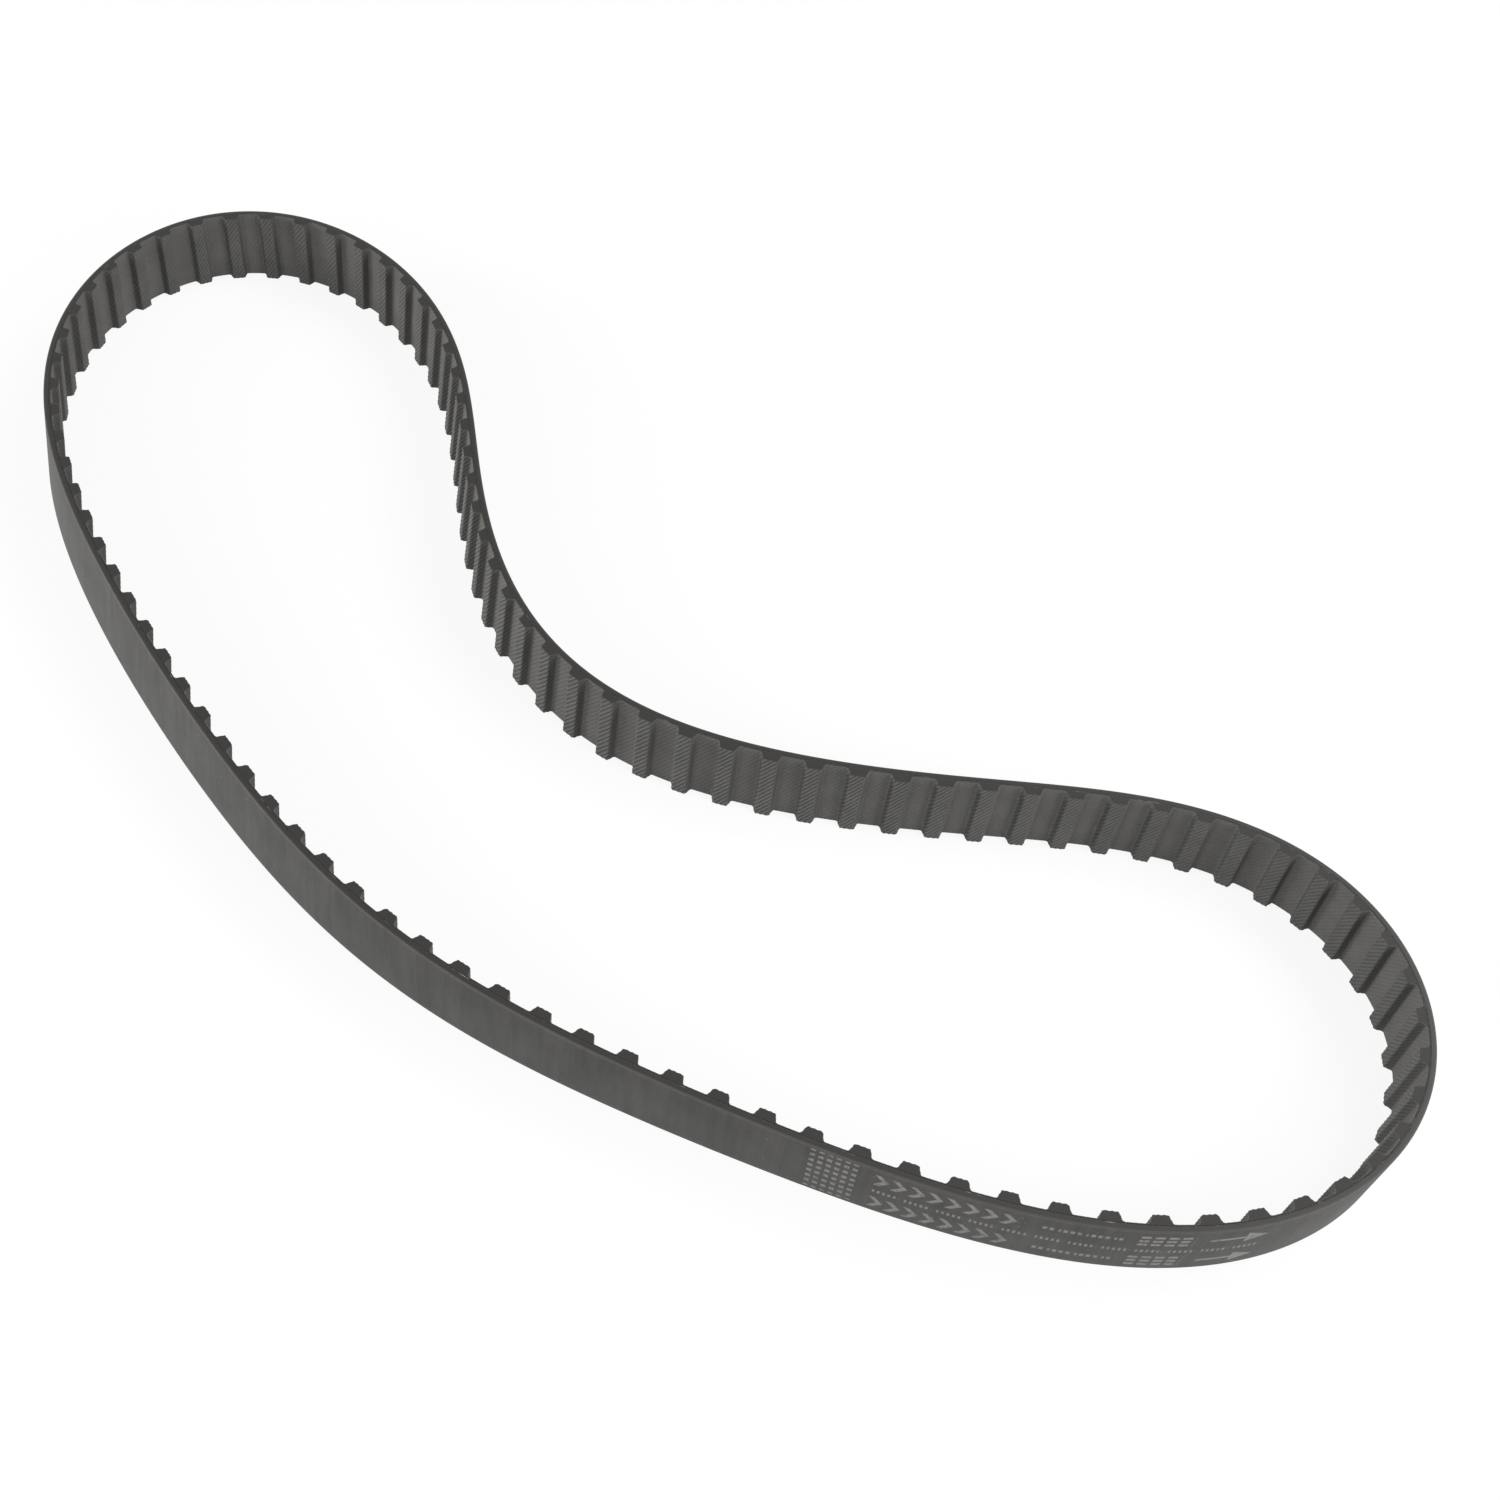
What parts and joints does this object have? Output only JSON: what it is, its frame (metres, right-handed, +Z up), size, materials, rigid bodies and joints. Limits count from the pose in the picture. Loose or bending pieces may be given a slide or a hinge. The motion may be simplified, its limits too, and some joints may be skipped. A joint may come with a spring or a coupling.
{
  "type": "timing belt",
  "caption": "Endless toothed rubber timing belt with a smooth back and fabric-faced trapezoidal teeth, standing on its edge in a free kidney-shaped loop that flexes.",
  "frame": {"origin": "middle of the loop's box, on the surface that the belt's cut edge stands on", "axes": "+X along the loop's longest extent, +Y towards the waist, +Z up across the belt's width"},
  "size_m": [0.3786, 0.1474, 0.0191],
  "materials": {
    "backing": "matt ground rubber",
    "cord_ply": "twisted glass cord",
    "tooth_rubber": "matt cut rubber",
    "facing": "rubbed nylon twill"
  },
  "bodies": {
    "section_01": {"backing_01": "backing", "cord_ply_01": "cord_ply", "tooth_rubber_01": "tooth_rubber", "facing_01": "facing"},
    "section_02": {"backing_02": "backing", "cord_ply_02": "cord_ply", "tooth_rubber_02": "tooth_rubber", "facing_02": "facing"},
    "section_03": {"backing_03": "backing", "cord_ply_03": "cord_ply", "tooth_rubber_03": "tooth_rubber", "facing_03": "facing"},
    "section_04": {"backing_04": "backing", "cord_ply_04": "cord_ply", "tooth_rubber_04": "tooth_rubber", "facing_04": "facing"},
    "section_05": {"backing_05": "backing", "cord_ply_05": "cord_ply", "tooth_rubber_05": "tooth_rubber", "facing_05": "facing"},
    "section_06": {"backing_06": "backing", "cord_ply_06": "cord_ply", "tooth_rubber_06": "tooth_rubber", "facing_06": "facing"},
    "section_07": {"backing_07": "backing", "cord_ply_07": "cord_ply", "tooth_rubber_07": "tooth_rubber", "facing_07": "facing"},
    "section_08": {"backing_08": "backing", "cord_ply_08": "cord_ply", "tooth_rubber_08": "tooth_rubber", "facing_08": "facing"},
    "section_09": {"backing_09": "backing", "cord_ply_09": "cord_ply", "tooth_rubber_09": "tooth_rubber", "facing_09": "facing"},
    "section_10": {"backing_10": "backing", "cord_ply_10": "cord_ply", "tooth_rubber_10": "tooth_rubber", "facing_10": "facing"},
    "section_11": {"backing_11": "backing", "cord_ply_11": "cord_ply", "tooth_rubber_11": "tooth_rubber", "facing_11": "facing"},
    "section_12": {"backing_12": "backing", "cord_ply_12": "cord_ply", "tooth_rubber_12": "tooth_rubber", "facing_12": "facing"}
  },
  "joints": [
    {"name": "flex_01", "type": "hinge", "parent": "section_02", "child": "section_01", "pos_m": [-0.15242, 0.0704, 0.00953], "axis": [0, 0, 1], "range_deg": [-3.2, 3.2], "stiffness_Nm_per_rad": 0.005},
    {"name": "flex_02", "type": "hinge", "parent": "section_03", "child": "section_02", "pos_m": [-0.18501, 0.01353, 0.00953], "axis": [0, 0, 1], "range_deg": [-4.7, 4.7], "stiffness_Nm_per_rad": 0.005},
    {"name": "flex_03", "type": "hinge", "parent": "section_04", "child": "section_03", "pos_m": [-0.13225, -0.03858, 0.00953], "axis": [0, 0, 1], "range_deg": [-7.6, 7.6], "stiffness_Nm_per_rad": 0.005},
    {"name": "flex_04", "type": "hinge", "parent": "section_05", "child": "section_04", "pos_m": [-0.06018, -0.06295, 0.00953], "axis": [0, 0, 1], "range_deg": [-8.2, 8.2], "stiffness_Nm_per_rad": 0.005},
    {"name": "flex_05", "type": "hinge", "parent": "section_06", "child": "section_05", "pos_m": [0.01517, -0.07208, 0.00953], "axis": [0, 0, 1], "range_deg": [-9.3, 9.3], "stiffness_Nm_per_rad": 0.005},
    {"name": "flex_06", "type": "hinge", "parent": "section_06", "child": "section_07", "pos_m": [0.08935, -0.05562, 0.00953], "axis": [0, 0, 1], "range_deg": [-11.5, 11.5], "stiffness_Nm_per_rad": 0.005},
    {"name": "flex_07", "type": "hinge", "parent": "section_07", "child": "section_08", "pos_m": [0.16558, -0.01775, 0.00953], "axis": [0, 0, 1], "range_deg": [-15, 15], "stiffness_Nm_per_rad": 0.005},
    {"name": "flex_08", "type": "hinge", "parent": "section_08", "child": "section_09", "pos_m": [0.18175, 0.05057, 0.00953], "axis": [0, 0, 1], "range_deg": [-4.8, 4.8], "stiffness_Nm_per_rad": 0.005},
    {"name": "flex_09", "type": "hinge", "parent": "section_09", "child": "section_10", "pos_m": [0.11458, 0.06503, 0.00953], "axis": [0, 0, 1], "range_deg": [-3.7, 3.7], "stiffness_Nm_per_rad": 0.005},
    {"name": "flex_10", "type": "hinge", "parent": "section_10", "child": "section_11", "pos_m": [0.05222, 0.0214, 0.00953], "axis": [0, 0, 1], "range_deg": [-1.9, 1.9], "stiffness_Nm_per_rad": 0.005},
    {"name": "flex_11", "type": "hinge", "parent": "section_11", "child": "section_12", "pos_m": [-0.01958, 0.00364, 0.00953], "axis": [0, 0, 1], "range_deg": [-10.8, 10.8], "stiffness_Nm_per_rad": 0.005}
  ],
  "couplings": [
    {"joint": "flex_01", "follows": "flex_07", "ratio": 0.20919},
    {"joint": "flex_02", "follows": "flex_07", "ratio": -0.31081},
    {"joint": "flex_03", "follows": "flex_07", "ratio": -0.5045},
    {"joint": "flex_04", "follows": "flex_07", "ratio": -0.54387},
    {"joint": "flex_05", "follows": "flex_07", "ratio": 0.61706},
    {"joint": "flex_06", "follows": "flex_07", "ratio": -0.76596},
    {"joint": "flex_08", "follows": "flex_07", "ratio": 0.31835},
    {"joint": "flex_09", "follows": "flex_07", "ratio": -0.24509},
    {"joint": "flex_10", "follows": "flex_07", "ratio": -0.12445},
    {"joint": "flex_11", "follows": "flex_07", "ratio": -0.71577}
  ]
}
